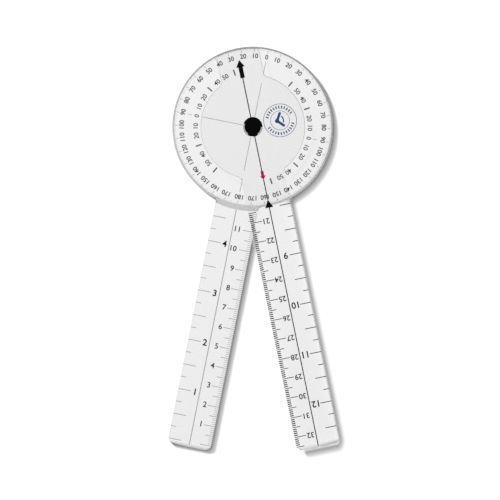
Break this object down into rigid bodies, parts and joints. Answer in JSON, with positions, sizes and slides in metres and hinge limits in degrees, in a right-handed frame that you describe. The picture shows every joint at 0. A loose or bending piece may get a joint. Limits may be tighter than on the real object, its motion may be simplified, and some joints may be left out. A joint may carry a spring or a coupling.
{
  "type": "goniometer",
  "caption": "Clear plastic goniometer: a full-circle dial moulded in one with its fixed arm, and a ruled moving arm that turns about a black rivet to measure joint angles.",
  "frame": {"origin": "on the pivot axis, at the underside on which the goniometer lies", "axes": "+Z along the pivot axis, out of the printed faces; the fixed arm lies along -Y; the moving arm stands 23 degrees open from it, towards +X"},
  "size_m": [0.114, 0.2052, 0.0068],
  "materials": {
    "clear_plastic": "clear, polished faces, moulded edges",
    "washer_nylon": "natural, satin",
    "black_nylon": "moulded, satin",
    "dark_ink": "screen printed, satin",
    "grey_ink": "screen printed, satin",
    "red_ink": "screen printed, satin",
    "blue_ink": "screen printed, satin"
  },
  "bodies": {
    "base": {"fixed_arm": "clear_plastic", "friction_washer": "washer_nylon", "head_washer": "washer_nylon", "rivet_socket": "black_nylon", "rivet_post": "black_nylon"},
    "moving": {"moving_arm": "clear_plastic"}
  },
  "joints": [
    {"name": "arm_pivot", "type": "hinge", "parent": "base", "child": "moving", "pos_m": [0, 0, 0.0039], "axis": [0, 0, 1], "continuous": true}
  ]
}
